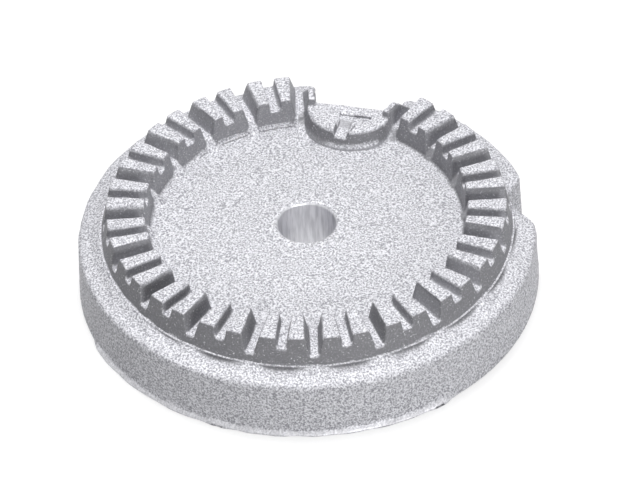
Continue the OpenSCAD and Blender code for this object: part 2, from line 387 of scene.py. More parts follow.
def polygon_distance(x: Array, y: Array, corners: tuple[Point, ...] | Array) -> Array:
    """Signed distance to a closed outline, negative inside, from its nearest edge and the count of crossings.

    Args:
        x: First coordinate of the points.
        y: Second coordinate of the points.
        corners: Corners of the outline in order.

    Returns:
        Signed distance of each point.
    """
    near = np.full(np.shape(x), np.inf)
    inside = np.zeros(np.shape(x), dtype=bool)
    for (ax, ay), (bx, by) in zip(corners, np.roll(corners, -1, axis=0)):
        dx, dy = bx - ax, by - ay
        share = np.clip(((x - ax) * dx + (y - ay) * dy) / (dx * dx + dy * dy), 0.0, 1.0)
        near = np.minimum(near, np.hypot(x - ax - share * dx, y - ay - share * dy))
        crosses = (ay > y) != (by > y)
        if dy != 0.0:
            inside ^= crosses & (x < ax + (y - ay) * dx / dy)
    return np.where(inside, -near, near)


@dataclass(frozen=True)
class Notch:
    """The igniter notch and the electrode opening behind it, between the inner sides of the two ears."""

    right: tuple[Point, ...] = ((5.85, 24.6), (6.05, 25.6), (6.6, 26.9), (7.0, 28.2), (7.1, 29.0))
    left: tuple[Point, ...] = ((-5.4, 24.6), (-5.55, 25.5), (-5.85, 26.5), (-6.2, 27.4), (-6.7, 28.5))
    right_wall: float = 7.1
    flare: Point = (-8.3, 34.7)
    corner: float = 2.0
    floor: float = 14.5
    back: float = 27.1
    back_turn: float = 0.06
    ear_end: float = 29.2
    clear: float = 44.0

    def back_line(self, x: Array | float) -> Array | float:
        """Distance of the platform's outer edge from the bore axis, a little nearer on the left."""
        return self.back + self.back_turn * x

    def outline(self) -> Array:
        """Closed outline of the space between the ears, from above, without the rounded outer corners."""
        out_left = (self.flare[0], self.clear)
        out_right = (self.right_wall, self.clear)
        points = [(self.left[0][0], 20.0), *self.left, self.flare, out_left, out_right, *self.right[::-1],
                  (self.right[0][0], 20.0)]
        return np.array(points)

    def side(self, skirt_r: float, right: bool) -> Array:
        """Path along one side of the space as seen from above, with its rounded corner to the skirt.

        The corner is an arc whose circle touches the wall and the skirt from inside.

        Args:
            skirt_r: Outer radius of the skirt.
            right: Whether the right side is meant.

        Returns:
            Points of the path from the notch outwards, one row each.
        """
        start = np.array(self.right if right else self.left)
        sign = 1.0 if right else -1.0
        wall = self.right_wall if right else -self.flare[0]
        middle_x = wall + self.corner
        middle_y = np.sqrt((skirt_r - self.corner) ** 2 - middle_x ** 2)
        end = np.arctan2(middle_y, middle_x)
        sweep = np.linspace(np.pi, end, 14)
        arc = np.column_stack([sign * (middle_x + self.corner * np.cos(sweep)), middle_y + self.corner * np.sin(sweep)])
        return np.vstack([start, arc])

    def slope(self, at: Spots, ring_top: float) -> Array:
        """Distance to the cone that slopes the ears' outer ends, faded out beyond the first deep ports."""
        away = np.abs(at.bearing - 90.0)
        fade = 6.0 * ramp(away, 17.2, 19.0)
        return (at.r - self.ear_end - fade - (ring_top - at.z)) * np.sqrt(0.5)


@dataclass(frozen=True)
class Recess:
    """The round recess for the flame sensor in the edge of the skirt."""

    turn: float = 25.3
    middle_r: float = 38.95
    radius: float = 5.0
    corner: float = 2.2

    def distance(self, at: Spots, grow: float = 0.0) -> Array:
        """Distance to the recess's open cylinder, larger by grow."""
        angle = np.radians(self.turn)
        return np.hypot(at.x - self.middle_r * np.cos(angle), at.y - self.middle_r * np.sin(angle)) - self.radius - grow

    def reach(self, turn: Array, grow: float = 0.0) -> Array:
        """Where a ray from the bore axis meets the recess, or a large number where it passes it."""
        lean = np.radians(turn - self.turn)
        room = (self.radius + grow) ** 2 - (self.middle_r * np.sin(lean)) ** 2
        near = self.middle_r * np.cos(lean) - np.sqrt(np.maximum(room, 0.0))
        return np.where((room > 0.0) & (np.cos(lean) > 0.0), near, 99.0)


@dataclass(frozen=True)
class Plate:
    """Floor, ledge, shoulder, skirt and seating lip: the turned body under the ring."""

    skirt_r: float = 38.1
    skirt_top_r: float = 37.7
    shoulder_z: float = 8.9
    shoulder: float = 0.65
    shoulder_crisp: float = 0.25
    ledge_r: float = 34.15
    ledge_z: float = 10.7
    ledge_fall: float = 15.0
    bore_r: float = 4.75
    bore_rim: float = 0.7
    floor_in: Point = (5.45, 11.7)
    floor_out: Point = (25.6, 10.9)
    edge: float = 0.22
    lip_from: float = 217.0
    lip_to: float = 326.0
    lip_out: float = 0.58
    lip_h: float = 0.86
    lip_fall: float = 1.0
    lip_waves: int = 9

    def ledge(self, r: Array | float) -> Array | float:
        """Height of the ledge at a radius."""
        return self.ledge_z - (r - self.ledge_r) * np.tan(np.radians(self.ledge_fall))

    def floor(self, r: Array | float) -> Array | float:
        """Height of the slightly conical floor at a radius."""
        fall = (self.floor_in[1] - self.floor_out[1]) / (self.floor_out[0] - self.floor_in[0])
        return self.floor_in[1] - (r - self.floor_in[0]) * fall

    def skirt(self, z: Array | float) -> Array | float:
        """Radius of the skirt at a height."""
        return self.skirt_r - z * (self.skirt_r - self.skirt_top_r) / self.shoulder_z

    def lip(self, at: Spots) -> Array:
        """Distance to the seating lip: a low uneven step whose reach and height wander round the skirt.

        Args:
            at: Points to work out.

        Returns:
            Signed distance, negative in the metal.
        """
        turn = np.mod(at.bearing, 360.0)
        draw = np.random.default_rng(23)
        wander = np.zeros_like(turn)
        for size in draw.uniform(0.4, 1.0, self.lip_waves):
            wander += size * np.sin(np.radians(turn) * draw.uniform(8.0, 60.0) + draw.uniform(0.0, 2.0 * np.pi))
        wander /= self.lip_waves * 0.35
        ends = ramp(turn, self.lip_from, self.lip_from + 6.0) * ramp(-turn, -self.lip_to, 6.0 - self.lip_to)
        out = self.lip_out * ends * (1.0 + 0.3 * wander)
        high = self.lip_h * (0.35 + 0.65 * ends) * (1.0 + 0.18 * wander)
        top = (at.z - high + self.lip_fall * (at.r - self.skirt_r)) / np.hypot(1.0, self.lip_fall)
        return eased(at.r - self.skirt_r - out, top, 0.1)


@dataclass(frozen=True)
class Hollow:
    """The space under the plate, between the bore tube and the skirt, with walls kept round the openings."""

    out_r: float = 35.7
    out_top_r: float = 35.0
    ceiling_out: float = 8.4
    ceiling_in: float = 9.2
    tube_r: float = 7.0
    tube_top_r: float = 7.6
    wall: float = 2.2
    round: float = 0.9
    box_right: float = 9.2
    box_left: float = -10.5

    def ceiling(self, r: Array | float) -> Array | float:
        """Height of the ceiling at a radius."""
        fall = (self.ceiling_in - self.ceiling_out) / (self.out_top_r - self.tube_top_r)
        return self.ceiling_in - (r - self.tube_top_r) * fall

    def box(self, at: Spots, back: float) -> Array:
        """Distance to the block that stays solid round the electrode opening."""
        return np.maximum(np.maximum(self.box_left - at.x, at.x - self.box_right), back - self.wall - at.y)

    def distance(self, at: Spots, notch: Notch, recess: Recess) -> Array:
        """Distance to the hollow, all its inner edges rounded.

        Args:
            at: Points to work out.
            notch: The igniter notch with the electrode opening.
            recess: The sensor recess.

        Returns:
            Signed distance, negative in the open space.
        """
        outer = at.r - self.out_r + at.z * (self.out_r - self.out_top_r) / self.ceiling_out
        tube = self.tube_r + at.z * (self.tube_top_r - self.tube_r) / self.ceiling_in - at.r
        sides = eased(eased(outer, -self.box(at, notch.back), self.round), -recess.distance(at, self.wall), self.round)
        return eased(eased(sides, at.z - self.ceiling(at.r), self.round), tube, self.round * 0.6)


@dataclass(frozen=True)
class Casting:
    """The whole crown as one signed distance, from its turned body, ring, platform and cuts."""

    plate: Plate = Plate()
    ring: Ring = Ring()
    ports: Ports = Ports()
    platform: Platform = Platform()
    notch: Notch = Notch()
    recess: Recess = Recess()
    hollow: Hollow = Hollow()
    uneven: Unevenness = Unevenness()
    chute_half: float = 0.6
    scallop_reach: float = 1.5
    scallop_rise: float = 0.72
    scallop_sink: float = 0.38

    def distance(self, at: Spots) -> Array:
        """Puts the forms together: joins have hollow rounds, edges have outer rounds.

        Args:
            at: Points to work out.

        Returns:
            Signed distance, negative in the metal.
        """
        plate, ring, notch = self.plate, self.ring, self.notch
        between = polygon_distance(at.x, at.y, notch.outline())
        open_side = filleted(-between, at.y - notch.back_line(at.x), 0.5)
        notch_side = filleted(-between, at.z - notch.floor, 0.3)
        recess = -self.recess.distance(at)
        skirt = (at.r - plate.skirt(at.z)) * 0.999
        side = eased(eased(skirt, open_side, notch.corner), recess, self.recess.corner)
        cut_near = ramp(np.minimum(-open_side, -recess), 0.6, 2.0)
        crisp = plate.shoulder_crisp * ramp(-np.mod(at.bearing, 360.0), -280.0, -235.0)
        shoulder = plate.edge + (plate.shoulder * (1.0 - crisp) - plate.edge) * cut_near
        ledge = (at.z - plate.ledge(at.r) - self.scallops(at)) * np.cos(np.radians(plate.ledge_fall))
        top = np.where(at.r < 30.0, at.z - plate.floor(at.r), ledge)
        body = eased(side, top, shoulder)
        feet = np.where(at.r < 30.0, ring.feet(at), eased(ring.feet(at), np.maximum(open_side, recess), plate.edge))
        body = filleted(body, np.maximum(feet, side), np.where(at.r < 30.0, 0.05, 0.28))
        crown = eased(ring.distance(at, self.ports), eased(notch_side, notch.slope(at, ring.top), 0.3), ring.port_edge)
        boss = self.platform.distance(at)
        near_port = np.minimum(-self.ports.open_space(at), at.r - 20.0)
        boss = eased(boss, near_port, 0.3)
        crown = filleted(crown, boss, 0.2)
        crown = eased(crown, np.maximum(open_side, recess), 0.26)
        by_boss = ramp(-np.hypot(at.x - self.platform.middle[0], at.y - self.platform.middle[1]), -11.0, -10.0)
        feet_round = np.where(at.r < 30.0, 0.32 - 0.24 * np.maximum(ring.kerbed(at), by_boss), 0.06)
        body = filleted(body, crown, feet_round)
        body = filleted(body, self.chutes(at), 0.15)
        body = filleted(body, np.maximum(plate.lip(at), 36.0 - at.r), 0.12)
        body = eased(body, np.maximum(open_side, recess), 0.12)
        body = eased(body, -at.z, plate.edge)
        body = eased(body, -self.hollow.distance(at, notch, self.recess), plate.edge)
        rim = np.where(at.z > 6.0, plate.bore_rim, plate.edge)
        body = eased(body, plate.bore_r - at.r, rim)
        smooth_bore = ramp(at.r, plate.bore_r + 0.1, plate.bore_r + 1.4)
        return body + self.uneven.height(at) * smooth_bore * ramp(at.z, 0.0, 0.8)

    def scallops(self, at: Spots) -> Array:
        """Rise of the ledge at the ring's foot, up to the bead opposite each deep port and sunk between them."""
        near = ramp(-at.r, -self.plate.ledge_r - self.scallop_reach, -self.plate.ledge_r)
        return near * (self.scallop_rise * self.lifted(at) - self.scallop_sink)

    def lifted(self, at: Spots) -> Array:
        """Share of the ledge's rise at a bearing: 1 opposite the deep ports and on the left, 0 between them."""
        phase = np.radians((at.bearing - 90.0) * 360.0 / (2.0 * self.ports.pitch))
        rise = (0.5 + 0.5 * np.cos(phase)) ** 2
        turn = np.mod(at.bearing, 360.0)
        level = ramp(turn, 150.0, 170.0) * ramp(-turn, -255.0, -232.0)
        return rise + (1.0 - rise) * level

    def chutes(self, at: Spots) -> Array:
        """Distance to the small ramps that run up to the inner ends of the deep ports."""
        number, off = self.ports.nearest(at)
        foot_r, foot_z = self.ports.chute_foot(at), self.ports.chute_in[1]
        lean = np.arctan(self.ports.chute_slope(at))
        fall = np.maximum(np.abs(off) - self.chute_half, 0.0)
        slope = (at.z - foot_z + fall) * np.cos(lean) - (at.r - foot_r) * np.sin(lean)
        ramp_body = np.maximum(slope * 0.85, np.maximum(at.z - self.ports.chute_out[1], at.r - 30.0))
        return np.where(np.mod(number, 2) == 0, ramp_body, 9.0)

    def settled(self, spots: Array, rounds: int = 5, step: float = 0.004, reach: float = 0.6) -> tuple[Array, Array]:
        """Moves points on to the surface along the slope of the distance, a few Newton steps.

        The slope comes from four samples at the corners of a small tetrahedron round each point.

        Args:
            spots: Points, one row of x, y and z each.
            rounds: Number of steps.
            step: Size of the tetrahedron.
            reach: Longest single move.

        Returns:
            The moved points and the outward directions there.
        """
        corners = np.array([(1, 1, 1), (1, -1, -1), (-1, 1, -1), (-1, -1, 1)], dtype=float)
        for turn in range(rounds + 1):
            slope = np.zeros_like(spots)
            level = np.zeros(len(spots))
            for corner in corners:
                value = self.distance(Spots(*(spots + corner * step).T))
                slope += value[:, None] * corner / (4.0 * step)
                level += value / 4.0
            if turn == rounds:
                break
            steep = np.maximum(np.sum(slope * slope, axis=1), 0.25)
            move = -slope * (level / steep)[:, None]
            length = np.linalg.norm(move, axis=1, keepdims=True)
            spots = spots + move * np.minimum(1.0, reach / np.maximum(length, 1e-9))
        return spots, slope / np.maximum(np.linalg.norm(slope, axis=1, keepdims=True), 1e-9)


@dataclass(frozen=True)
class SidePath:
    """One side of the notch as seen from above, measured along its length from the notch outwards."""

    points: Array

    @property
    def length(self) -> Array:
        """Distance along the path at each point."""
        return np.concatenate([[0.0], np.cumsum(np.hypot(*np.diff(self.points, axis=0).T))])

    def place(self, along: Array | float) -> tuple[Array, Array]:
        """Coordinates at a distance along the path."""
        return np.interp(along, self.length, self.points[:, 0]), np.interp(along, self.length, self.points[:, 1])

    def where(self, measure: Callable[[Array, Array], Array]) -> float:
        """Distance along the path at which a measure of the place, rising along the path, passes zero."""
        along = np.linspace(0.0, self.length[-1], 2000)
        return float(np.interp(0.0, measure(*self.place(along)), along))

    def at_radius(self, radius: float) -> float:
        """Distance along the path at which it reaches a radius from the bore axis."""
        return self.where(lambda x, y: np.hypot(x, y) - radius)


class Line(IntEnum):
    """Feature lines of the casting in order, from the foot of the bore up, outwards and back underneath."""

    BORE_FOOT = 0
    BORE_TOP = 1
    RIM = 2
    KERB_FOOT = 3
    KERB_TOP = 4
    WALL_FOOT = 5
    WALL_TOP = 6
    EAR_FOOT = 7
    TOP_INNER = 8
    TOP_OUTER = 9
    RING_FOOT = 10
    BEAD = 11
    LEDGE_IN = 12
    LEDGE_OUT = 13
    SKIRT_TOP = 14
    LIP = 15
    SKIRT_FOOT = 16
    HOLLOW_FOOT = 17
    CEILING_OUT = 18
    CEILING_MIDDLE = 19
    CEILING_IN = 20
    TUBE_FOOT = 21


SHARES: dict[Line, tuple[float, ...]] = {
    Line.BORE_FOOT: (0.0, 0.03, 0.12, 0.35, 0.6, 0.82, 0.95),
    Line.BORE_TOP: (0.0, 0.2, 0.4, 0.6, 0.8),
    Line.RIM: (0.0, 0.02, 0.06, 0.15, 0.27, 0.39, 0.51, 0.63, 0.74, 0.83, 0.9, 0.945, 0.98),
    Line.KERB_FOOT: (0.0, 0.5),
    Line.KERB_TOP: (0.0, 0.4, 0.8),
    Line.WALL_FOOT: (0.0, 0.12, 0.3, 0.55, 0.8),
    Line.WALL_TOP: (0.0, 0.35, 0.7),
    Line.EAR_FOOT: (0.0, 0.25, 0.5, 0.75, 0.9, 0.97, 0.99),
    Line.TOP_INNER: (0.0, 0.03, 0.07, 0.13, 0.22, 0.34, 0.46, 0.58, 0.7, 0.8, 0.88, 0.94, 0.975),
    Line.TOP_OUTER: (0.0, 0.06, 0.14, 0.28, 0.45, 0.62, 0.78, 0.92),
    Line.RING_FOOT: (0.0, 0.25, 0.75),
    Line.BEAD: (0.0, 0.25, 0.6),
    Line.LEDGE_IN: (0.0, 0.08, 0.25, 0.45, 0.65, 0.85),
    Line.LEDGE_OUT: (0.0, 0.25, 0.5, 0.75),
    Line.SKIRT_TOP: (0.0, 0.1, 0.3, 0.5, 0.7, 0.86, 0.96),
    Line.LIP: (0.0, 0.25, 0.5, 0.75, 0.93),
    Line.SKIRT_FOOT: (0.0, 0.1, 0.5, 0.9),
    Line.HOLLOW_FOOT: (0.0, 0.06, 0.5, 0.92),
    Line.CEILING_OUT: (0.0, 0.06, 0.25, 0.6),
    Line.CEILING_MIDDLE: (0.0, 0.35, 0.7, 0.93),
    Line.CEILING_IN: (0.0, 0.08, 0.35, 0.7, 0.94),
    Line.TUBE_FOOT: (0.0, 0.2, 0.6),
}


@dataclass
class Crown:
    """The burner crown as one closed grid, wrapped round the ring the long way and round its section."""

    form: Casting = field(default_factory=Casting)
    deep_offsets: tuple[float, ...] = (0.3, 0.45, 0.58, 0.7, 0.8, 1.02, 1.3, 1.46, 1.57, 1.76)
    shallow_offsets: tuple[float, ...] = (0.46, 0.66, 0.82, 0.92, 0.99, 1.07, 1.16, 1.32)
    ear_shares: tuple[float, ...] = (0.15, 0.4, 0.7, 0.9)
    wall_shares: tuple[float, ...] = (0.04, 0.12, 0.24, 0.38, 0.54, 0.7, 0.82, 0.91, 0.97)
    platform_step: float = 0.36
    slot_offsets: tuple[float, ...] = (0.3, 0.6, 0.8, 0.92, 1.05, 1.2, 1.3, 1.4, 1.56)
    notch_side: float = 5.4
    middle_r: float = 24.2
    # Painted shade in the ports, full on the front ones, and the share of it taken off the ring's inner wall.
    port_shade: float = 0.5
    front_port_shade: float = 1.0
    inner_shade_cut: float = 0.2
    lip_shine: float = 0.6

    def __post_init__(self) -> None:
        """Lays both sides of the notch out as paths."""
        notch, plate = self.form.notch, self.form.plate
        self.paths = {right: SidePath(notch.side(plate.skirt_r, right)) for right in (True, False)}

    def ring_columns(self) -> tuple[Array, Array, Array]:
        """Places a column on each line of every port and one on the middle of each tooth.

        Returns:
            Bearing of the port or tooth, sideways offset from its middle line, and height of the top there.
        """
        ports = self.form.ports
        turns, offsets, tops = [], [], []
        last = 2 * ports.half_round - ports.first
        for number in range(ports.first, last + 1):
            deep = number % 2 == 0
            half = np.array(self.deep_offsets if deep else self.shallow_offsets)
            off = np.concatenate([-half[::-1], [0.0], half])
            off = off[1:] if number == ports.first else off
            off = off[:-1] if number == last else off
            turns.append(np.full(len(off), 90.0 + ports.pitch * number))
            near_ear = (off > 0.0) & (number == last)
            offsets.append(np.where(near_ear, off * ports.ear_half / ports.deep_top, off))
            tops.append(ports.height(off, np.full(len(off), deep)))
            if number < last:
                turns.append(np.array([90.0 + ports.pitch * (number + 0.5)]))
                offsets.append(np.zeros(1))
                tops.append(np.full(1, ports.top))
        return np.concatenate(turns), np.concatenate(offsets), np.concatenate(tops)

    @staticmethod
    def polar(turn: Array, r: Array | float, z: Array | float) -> Array:
        """Points at bearings, radii and heights, as rows x, y, z and a spare row."""
        turn = np.radians(turn)
        return np.stack(np.broadcast_arrays(r * np.cos(turn), r * np.sin(turn), z, 0.0))

    def shared_turns(self, share: Array, radius: float, grow: float, ends: tuple[float, float]) -> tuple[Array, Array]:
        """Shares the length of an outline round the skirt, with the recess in it, out among the columns.

        Args:
            share: Share of the way round of each column, 0 to 1.
            radius: Radius of the outline away from the recess.
            grow: Distance by which the recess is larger.
            ends: Bearings of both ends of the outline.

        Returns:
            Bearing and radius of each column on the outline.
        """
        turn = np.linspace(*ends, 8000)
        reach = np.minimum(radius, self.form.recess.reach(turn, grow))
        x, y = reach * np.cos(np.radians(turn)), reach * np.sin(np.radians(turn))
        length = np.concatenate([[0.0], np.cumsum(np.hypot(np.diff(x), np.diff(y)))])
        along = np.interp(share * length[-1], length, turn)
        return along, np.minimum(radius, self.form.recess.reach(along, grow))

    def ring_lines(self) -> Array:
        """Feature lines of all columns of the ring, from the first deep port round to the last.

        Returns:
            Array of lines by four rows by columns.
        """
        form = self.form
        plate, ring, hollow = form.plate, form.ring, form.hollow
        turn, off, top = self.ring_columns()

        def aim(radius: Array | float) -> Array:
            return turn + np.degrees(np.arcsin(off / np.maximum(radius, 24.5)))

        foot = aim(ring.kerb_r)
        kerb = form.platform.wall(ring.kerb_z)
        wall_r = ring.inner(ring.kerb_z)
        low = np.minimum(top, form.platform.top)
        boss_r = form.platform.reach(foot, form.platform.wall(low))
        on_boss = ramp(ring.inner(low) - boss_r, 0.0, 0.5)
        slope_end = form.notch.ear_end + (ring.top - top) + 6.0 * ramp(np.abs(np.mod(aim(31.0), 360.0) - 90.0), 17.2, 19.0)
        recess = form.recess.reach(aim(34.0))
        share_turn = aim(34.0)
        first, last = self.edge_turns(ring.bead_r)
        share = (share_turn - first) / (last - first)
        out_turn, out_r = self.shared_turns(share, plate.skirt_r, 0.0, self.edge_turns(plate.skirt_r))
        in_turn, in_r = self.shared_turns(share, hollow.out_r, hollow.wall, self.hollow_turns())
        cut = ramp(plate.skirt_r - out_r, 0.1, 1.2)
        shoulder_in = plate.skirt_top_r - plate.shoulder
        ledge_r = np.minimum(shoulder_in, out_r - 0.09)
        lip_ends = ramp(out_turn, plate.lip_from, plate.lip_from + 6.0) * ramp(-out_turn, -plate.lip_to, 6.0 - plate.lip_to)
        middle_turn = self.round_block(in_turn)
        rows = {
            Line.BORE_FOOT: self.polar(foot, plate.bore_r, 0.0),
            Line.BORE_TOP: self.polar(foot, plate.bore_r, plate.floor_in[1] - plate.bore_rim),
            Line.RIM: self.polar(foot, plate.floor_in[0], plate.floor_in[1]),
            Line.KERB_FOOT: self.polar(foot, np.minimum(ring.kerb_r, form.platform.reach(foot, kerb + form.platform.kerb)),
                                       plate.floor_out[1]),
            Line.KERB_TOP: self.polar(foot, np.minimum(ring.kerb_r + 0.05,
                                                       form.platform.reach(foot, kerb + form.platform.kerb - 0.05)),
                                      ring.kerb_z),
            Line.WALL_FOOT: self.polar(foot, np.minimum(wall_r, form.platform.reach(foot, kerb)), ring.kerb_z + 0.02),
            Line.WALL_TOP: self.polar(aim(26.2), np.minimum(ring.inner(low), boss_r),
                                      ring.kerb_z + (0.78 + 0.22 * on_boss) * (low - ring.kerb_z)),
            Line.EAR_FOOT: self.polar(aim(26.3), ring.inner(low), ring.kerb_z + (0.88 + 0.12 * on_boss) * (low - ring.kerb_z)),
            Line.TOP_INNER: self.polar(aim(26.4), ring.inner(top), top),
            Line.TOP_OUTER: self.polar(aim(np.minimum(ring.outer(top), slope_end)), np.minimum(ring.outer(top), slope_end), top),
            Line.RING_FOOT: self.polar(aim(33.8), np.minimum(ring.bead_r - 0.35, recess - 0.42), ring.bead_z + 0.03),
            Line.BEAD: self.polar(aim(34.0), np.minimum(ring.bead_r - 0.02, recess - 0.22), ring.bead_z),
            Line.LEDGE_IN: self.polar(aim(34.1), np.minimum(ring.bead_r + 0.03, recess - 0.17), plate.ledge_z),
            Line.LEDGE_OUT: self.polar(out_turn, ledge_r, plate.ledge(ledge_r)),
            Line.SKIRT_TOP: self.polar(out_turn, np.minimum(plate.skirt_top_r, out_r),
                                       plate.shoulder_z + cut * (plate.ledge(out_r) - 0.3 - plate.shoulder_z)),
            Line.LIP: self.polar(out_turn, out_r + 0.02 * lip_ends, plate.lip_h + 0.06),
            Line.SKIRT_FOOT: self.polar(out_turn, out_r + plate.lip_out * lip_ends, 0.0),
            Line.HOLLOW_FOOT: self.polar(in_turn, in_r, 0.0),
            Line.CEILING_OUT: self.polar(in_turn, in_r - 0.7, hollow.ceiling_out),
            Line.CEILING_MIDDLE: self.polar(middle_turn, self.middle_r, hollow.ceiling(self.middle_r)),
            Line.CEILING_IN: self.polar(foot, hollow.tube_top_r, hollow.ceiling_in),
            Line.TUBE_FOOT: self.polar(foot, hollow.tube_r - 0.03, 0.0),
        }
        return np.stack([rows[line] for line in Line])

    def edge_turns(self, radius: float) -> tuple[float, float]:
        """Bearings at which both sides of the opening cross a radius, left first and right one turn on."""
        turns = []
        for right, whole in ((False, 0.0), (True, 360.0)):
            path = self.paths[right]
            x, y = path.place(path.at_radius(min(radius, np.hypot(*path.points[-1]) - 1e-6)))
            turns.append(float(np.degrees(np.arctan2(y, x))) + whole)
        return turns[0], turns[1]

    def hollow_turns(self) -> tuple[float, float]:
        """Bearings of the corners of the hollow beside the opening, left first and right one turn on."""
        hollow = self.form.hollow
        ends = []
        for x, whole in ((hollow.box_left, 0.0), (hollow.box_right, 360.0)):
            ends.append(float(np.degrees(np.arctan2(np.sqrt(hollow.out_r ** 2 - x ** 2), x))) + whole)
        return ends[0], ends[1]

    def block_turns(self) -> tuple[float, float]:
        """Bearings at which the ceiling's columns clear the block round the opening, left first."""
        hollow = self.form.hollow
        left = 90.0 + np.degrees(np.arcsin((0.4 - hollow.box_left) / self.middle_r))
        right = 450.0 - np.degrees(np.arcsin((hollow.box_right + 0.4) / self.middle_r))
        return float(left), float(right)

    def round_block(self, turn: Array) -> Array:
        """Bends bearings on the hollow's rim away from the block round the opening, less with distance."""
        first, last = self.hollow_turns()
        left, right = self.block_turns()
        return np.interp(turn, [first, first + 33.0, last - 33.0, last], [left, first + 33.0, last - 33.0, right])

    def edge_lines(self, right: bool) -> Array:
        """Feature lines of the column that runs along the edge of an ear, its side path in the fourth row.

        Args:
            right: Whether the right ear is meant.

        Returns:
            Array of lines by four rows by one column.
        """
        form, path = self.form, self.paths[right]
        plate, ring, hollow, boss, notch = form.plate, form.ring, form.hollow, form.platform, form.notch
        ear_x = path.place(path.at_radius(ring.inner(notch.floor)))[0]
        lines = self.foot_lines(np.array([ear_x * 0.86]), np.array([ear_x * 0.985]), np.array([notch.floor]))
        end = path.length[-1]
        marks = {
            Line.EAR_FOOT: (path.at_radius(ring.inner(notch.floor)), notch.floor),
            Line.TOP_INNER: (path.at_radius(ring.in_r), ring.top),
            Line.TOP_OUTER: (path.at_radius(notch.ear_end), ring.top),
            Line.RING_FOOT: (path.at_radius(ring.bead_r - 0.27), ring.bead_z + 0.03),
            Line.BEAD: (path.at_radius(ring.bead_r - 0.02), ring.bead_z),
            Line.LEDGE_IN: (path.at_radius(ring.bead_r + 0.03), plate.ledge_z),
            Line.LEDGE_OUT: (path.at_radius(plate.skirt_top_r - plate.shoulder),
                             plate.ledge(plate.skirt_top_r - plate.shoulder)),
            Line.SKIRT_TOP: (path.at_radius(plate.skirt_r - 0.3), plate.shoulder_z + 0.1),
            Line.LIP: (end, plate.lip_h + 0.14),
            Line.SKIRT_FOOT: (end, 0.0),
        }
        for line, (along, z) in marks.items():
            x, y = path.place(along)
            lines[line, :, 0] = (x, y, z, along)
        corner_x = hollow.box_right if right else hollow.box_left
        corner_y = np.sqrt(hollow.out_r ** 2 - corner_x ** 2)
        lines[Line.HOLLOW_FOOT, :, 0] = (corner_x, corner_y, 0.0, 0.0)
        lines[Line.CEILING_OUT, :, 0] = (corner_x, corner_y - 0.7, hollow.ceiling_out, 0.0)
        turn = np.array([self.block_turns()[1 if right else 0]])
        lines[Line.CEILING_MIDDLE] = self.polar(turn, self.middle_r, hollow.ceiling(self.middle_r))
        return lines

    def foot_lines(self, foot_x: Array, edge_x: Array, edge_z: Array) -> Array:
        """Feature lines of columns over the platform, from the bore to the platform's inner edge.

        Args:
            foot_x: Sideways place of each column at the platform's foot.
            edge_x: Sideways place at the platform's inner edge.
            edge_z: Height of that edge.

        Returns:
            Array of lines by four rows by columns, filled for the lines that these columns share.
        """
        form = self.form
        plate, ring, hollow, boss = form.plate, form.ring, form.hollow, form.platform

        def on_circle(x: Array, radius: Array | float) -> Array:
            return boss.middle[1] - np.sqrt(radius ** 2 - (x - boss.middle[0]) ** 2)

        foot_r = boss.wall(ring.kerb_z)
        foot_y = on_circle(foot_x, foot_r)
        turn = np.degrees(np.arctan2(foot_y, foot_x))
        kerb = boss.reach(turn, foot_r + boss.kerb)
        lines = np.zeros((len(Line), 4, len(foot_x)))
        lines[Line.BORE_FOOT] = self.polar(turn, plate.bore_r, 0.0)
        lines[Line.BORE_TOP] = self.polar(turn, plate.bore_r, plate.floor_in[1] - plate.bore_rim)
        lines[Line.RIM] = self.polar(turn, plate.floor_in[0], plate.floor_in[1])
        lines[Line.KERB_FOOT] = self.polar(turn, kerb, plate.floor(kerb))
        lines[Line.KERB_TOP] = self.polar(turn, kerb + 0.05, ring.kerb_z)
        lines[Line.WALL_FOOT] = self.polar(turn, np.hypot(foot_x, foot_y), ring.kerb_z + 0.02)
        lines[Line.WALL_TOP] = np.stack([edge_x, on_circle(edge_x, boss.wall(edge_z)), edge_z, 0.0 * edge_x])
        lines[Line.CEILING_IN] = self.polar(turn, hollow.tube_top_r, hollow.ceiling_in)
        lines[Line.TUBE_FOOT] = self.polar(turn, hollow.tube_r - 0.03, 0.0)
        return lines

    def platform_lines(self) -> Array:
        """Feature lines of the columns that cross the platform, from its right side to its left.

        Returns:
            Array of lines by four rows by columns. The end columns run down the corners of the opening.
        """
        form = self.form
        ring, hollow, boss, notch, plate = form.ring, form.hollow, form.platform, form.notch, form.plate
        slot = np.array(self.slot_offsets)
        near = np.concatenate([boss.slot_x - slot[::-1], [boss.slot_x], boss.slot_x + slot])
        left_x, right_x = -self.notch_side + 0.2, self.notch_side + 0.1
        left = np.linspace(left_x, near[0], int((near[0] - left_x) / self.platform_step) + 1)[:-1]
        right = np.linspace(near[-1], right_x, int((right_x - near[-1]) / self.platform_step) + 2)[1:]
        x = np.concatenate([left, near, right])[::-1]
        to_right, to_left = ramp(x, 2.2, right_x), ramp(-x, 2.2, -left_x)
        slot_z = boss.slot_height(x)
        lines = self.foot_lines(x * 0.88, x, slot_z)
        ends = {right: self.paths[right] for right in (True, False)}
        foot_at = {right: path.at_radius(ring.inner(notch.floor)) for right, path in ends.items()}
        top_at = {right: path.at_radius(ring.in_r) + 0.15 for right, path in ends.items()}
        back_at = {right: path.where(lambda px, py: py - notch.back_line(px)) for right, path in ends.items()}

        def spread(targets: dict[bool, float]) -> Array:
            return x + (targets[True] - right_x) * to_right + (targets[False] - left_x) * to_left

